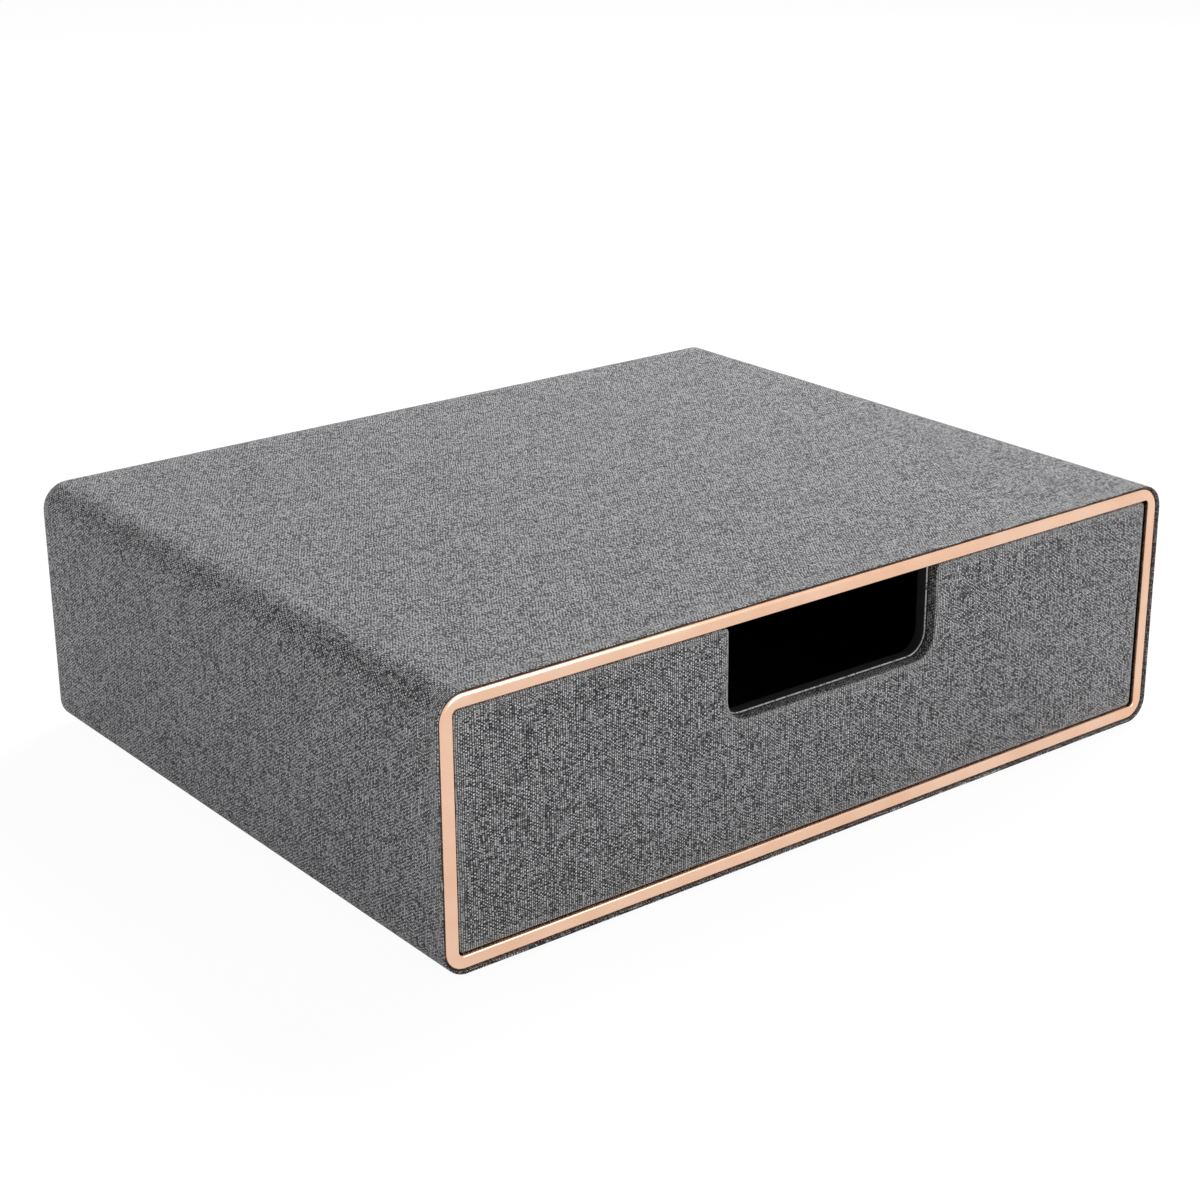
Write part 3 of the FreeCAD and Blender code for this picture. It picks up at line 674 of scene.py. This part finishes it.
def makeFascia(c):
    # a cloth shell: first its inside, from the face to the end of the turned edge, then its
    # outside, back from there over the fold to the face
    skin, r, q = caseSize["cloth"], c["edgeRound"], c["backRound"]
    corners = notchedOutline(fasciaHigh[0], fasciaLow[2], fasciaHigh[2], c["cornerRadius"],
                             c["notchHalf"], fasciaHigh[2] - c["notchDepth"], c["notchRadius"])
    inside = [(c["endInset"], skin)] + quarter((r, r), r - skin, 270, 180)
    inside += [(skin, c["depth"] - skin), (c["hem"], c["depth"] - skin)]
    outside = [(c["hem"], c["depth"])] + quarter((q, c["depth"] - q), q, 90, 180, 4)
    outside += quarter((r, r), r, 180, 270, 10) + [(c["endInset"], 0.0)]
    profile = np.array(inside + outside)
    # the fold's painted highlight, which also stands for worn threads, is palest at its middle: exp(-((inset -
    # at) / width)^2) times the same in depth
    fold = np.exp(-((profile[:, 0] - c["foldInset"]) / c["foldWidth"]) ** 2)
    fold *= np.exp(-((profile[:, 1] - c["foldBack"]) / c["foldDeep"]) ** 2)
    fold[:len(inside)] = 0
    profile[:, 1] += fasciaLow[1]
    cover = panelShell("fasciaCover", corners, profile, "drawer", cloth, fold=fold)
    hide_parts("fascia_cloth")


makeFascia(fascia)

drawerFront = {
    "edgeRound": 0.6, "endInset": 3.0, "notchHalf": 48.7, "notchRise": 0.8, "notchRadius": 8.2,
    "edgeWearAndHighlight": (0.9, 1.0, 0.9),
}


def makeDrawerFront(c):
    # board and lining of the box front in one papered panel with eased edges
    boardLow, boardHigh = millimetreBox("drawer_front_board")
    liningBack = millimetreBox("drawer_front_lining")[1][1]
    r = c["edgeRound"]
    notchLow = fasciaHigh[2] - fascia["notchDepth"] + c["notchRise"]
    corners = notchedOutline(boardHigh[0], boardLow[2], boardHigh[2], r,
                             c["notchHalf"], notchLow, c["notchRadius"])
    profile = boardProfile(boardLow[1], liningBack, r, c["endInset"])
    fold = np.zeros(len(profile))
    # a pale line round the front edge, partly wear and partly a painted highlight
    fold[-6:-3] = c["edgeWearAndHighlight"]      # the middle three of the seven points round the front edge
    panel = panelShell("drawerFrontPanel", corners, profile, "drawer", blackBoard, fold=fold)
    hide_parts("drawer_front_board", "drawer_front_lining")


makeDrawerFront(drawerFront)

drawerBottom = {"clearance": 0.9, "edgeRound": 0.3, "cornerRadius": 0.4, "endInset": 0.7}


def makeDrawerBottom(c):
    # the bottom board, its underside raised to run clear of the frame's lower lip
    low, high = millimetreBox("drawer_bottom_board")
    corners = boxOutline(high[0], low[2] + c["clearance"], high[2], c["cornerRadius"], c["cornerRadius"])
    profile = boardProfile(low[1], high[1], c["edgeRound"], c["endInset"])
    board = panelShell("drawerBottomPanel", corners, profile, "drawer", blackBoard)
    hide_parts("drawer_bottom_board")


makeDrawerBottom(drawerBottom)
print("drawer's fascia, front and bottom done")

# the boards and linings that keep their frame mesh
nodeMaterials = (
    (fibreboard, ("case_top_board", "case_bottom_board", "case_left_board", "case_right_board",
                  "case_strip_top_left", "case_strip_top_right", "case_strip_bottom_left",
                  "case_strip_bottom_right", "back_board", "fascia_board")),
    (blackCard, ("lining_floor", "lining_ceiling", "lining_left", "lining_right", "lining_back",
                 "drawer_floor_lining", "drawer_back_lining", "drawer_left_lining", "drawer_right_lining")),
    (blackBoard, ("drawer_back_board", "drawer_left_board", "drawer_right_board")),
)
for material, names in nodeMaterials:
    for name in names:
        nodes[name].data.materials.clear()
        nodes[name].data.materials.append(material)
print("boards and linings coloured")


# stage, lights and camera

studio = {
    "floor": 0.94, "floorHalf": 6.0, "floorGlow": 1.04, "floorGlowShare": 0.92, "world": 0.22,
    "aim": (0.0, 0.0, 0.05),
}

lamps = {
    "keyLamp": {"place": (1.25, 0.50, 1.25), "size": 1.2, "power": 41.0},
    "frontLamp": {"place": (0.6, -1.9, 0.36), "size": 0.9, "power": 13.5},
    "leftLamp": {"place": (-1.9, 0.7, 0.10), "size": 0.8, "power": 15.5},
}


def seenDirectly(bench):
    # 1 for camera, glossy and transmission rays, 0 for the light that falls on the object
    rays = bench.put("ShaderNodeLightPath").outputs
    mirrored = bench.math("MAXIMUM", rays["Is Glossy Ray"], rays["Is Transmission Ray"])
    return bench.math("MAXIMUM", rays["Is Camera Ray"], mirrored)


def makeFloor(c):
    mesh = bpy.data.meshes.new("studioFloor")
    side = c["floorHalf"]
    corners = [(-side, -side, 0), (side, -side, 0), (side, side, 0), (-side, side, 0)]
    mesh.from_pydata(corners, [], [(0, 1, 2, 3)])
    floor = bpy.data.objects.new("studioFloor", mesh)
    bpy.context.scene.collection.objects.link(floor)
    material = bpy.data.materials.new("paleFloor")
    material.use_nodes = True
    b = nodeBench(material.node_tree)
    b.nodes.clear()
    share = b.math("MULTIPLY", seenDirectly(b), c["floorGlowShare"])
    plain = b.put("ShaderNodeBsdfDiffuse", {"Color": (c["floor"], c["floor"], c["floor"], 1)})
    lit = b.put("ShaderNodeEmission", {"Color": (1, 1, 1, 1), "Strength": c["floorGlow"]})
    mixed = b.put("ShaderNodeMixShader", {0: share, 1: plain.outputs[0], 2: lit.outputs[0]})
    b.put("ShaderNodeOutputMaterial", {"Surface": mixed.outputs[0]})
    mesh.materials.append(material)


def makeWorld(c):
    world = bpy.data.worlds.new("studioWorld")
    bpy.context.scene.world = world
    world.use_nodes = True
    b = nodeBench(world.node_tree)
    b.nodes.clear()
    soft = b.put("ShaderNodeBackground", {"Color": (1, 1, 1, 1), "Strength": c["world"]})
    white = b.put("ShaderNodeBackground", {"Color": (1, 1, 1, 1), "Strength": 1.0})
    mixed = b.put("ShaderNodeMixShader", {0: seenDirectly(b), 1: soft.outputs[0], 2: white.outputs[0]})
    b.put("ShaderNodeOutputWorld", {"Surface": mixed.outputs[0]})


def makeLamp(name, place, size, power):
    # a square lamp turned so that it faces the aim
    data = bpy.data.lights.new(name, "AREA")
    data.shape, data.size, data.energy = "SQUARE", size, power
    lamp = bpy.data.objects.new(name, data)
    bpy.context.scene.collection.objects.link(lamp)
    away = np.array(place) - np.array(studio["aim"])
    lamp.location = place
    lamp.rotation_euler = (math.acos(away[2] / np.linalg.norm(away)), 0, math.atan2(away[0], -away[1]))


camera = {
    "place": (-0.55124, -0.70411, 0.39082), "turn": -38.032, "tilt": 20.739, "roll": -0.318,
    "lens": 72.74, "sensor": 36.0, "nearest": 0.01, "farthest": 50.0,
}


def makeCamera(c):
    # view direction (-sin turn cos tilt, cos turn cos tilt, -sin tilt), then rolled about itself
    turn, tilt, roll = (math.radians(c[key]) for key in ("turn", "tilt", "roll"))
    ahead = np.array((-math.sin(turn) * math.cos(tilt), math.cos(turn) * math.cos(tilt), -math.sin(tilt)))
    right = np.array((math.cos(turn), math.sin(turn), 0.0))
    up = np.cross(right, ahead)
    sideways = math.cos(roll) * right + math.sin(roll) * up
    upright = -math.sin(roll) * right + math.cos(roll) * up
    data = bpy.data.cameras.new("camera")
    data.sensor_fit, data.sensor_width, data.sensor_height = "HORIZONTAL", c["sensor"], c["sensor"]
    data.lens, data.clip_start, data.clip_end = c["lens"], c["nearest"], c["farthest"]
    holder = bpy.data.objects.new("camera", data)
    bpy.context.scene.collection.objects.link(holder)
    matrix = np.eye(4)
    matrix[:3, 0], matrix[:3, 1], matrix[:3, 2], matrix[:3, 3] = sideways, upright, -ahead, c["place"]
    holder.matrix_world = Matrix(matrix.tolist())
    bpy.context.scene.camera = holder


makeFloor(studio)
makeWorld(studio)
for name, look in lamps.items():
    makeLamp(name, **look)
makeCamera(camera)
bpy.context.scene.view_settings.view_transform = "Standard"
print("studio and camera set")
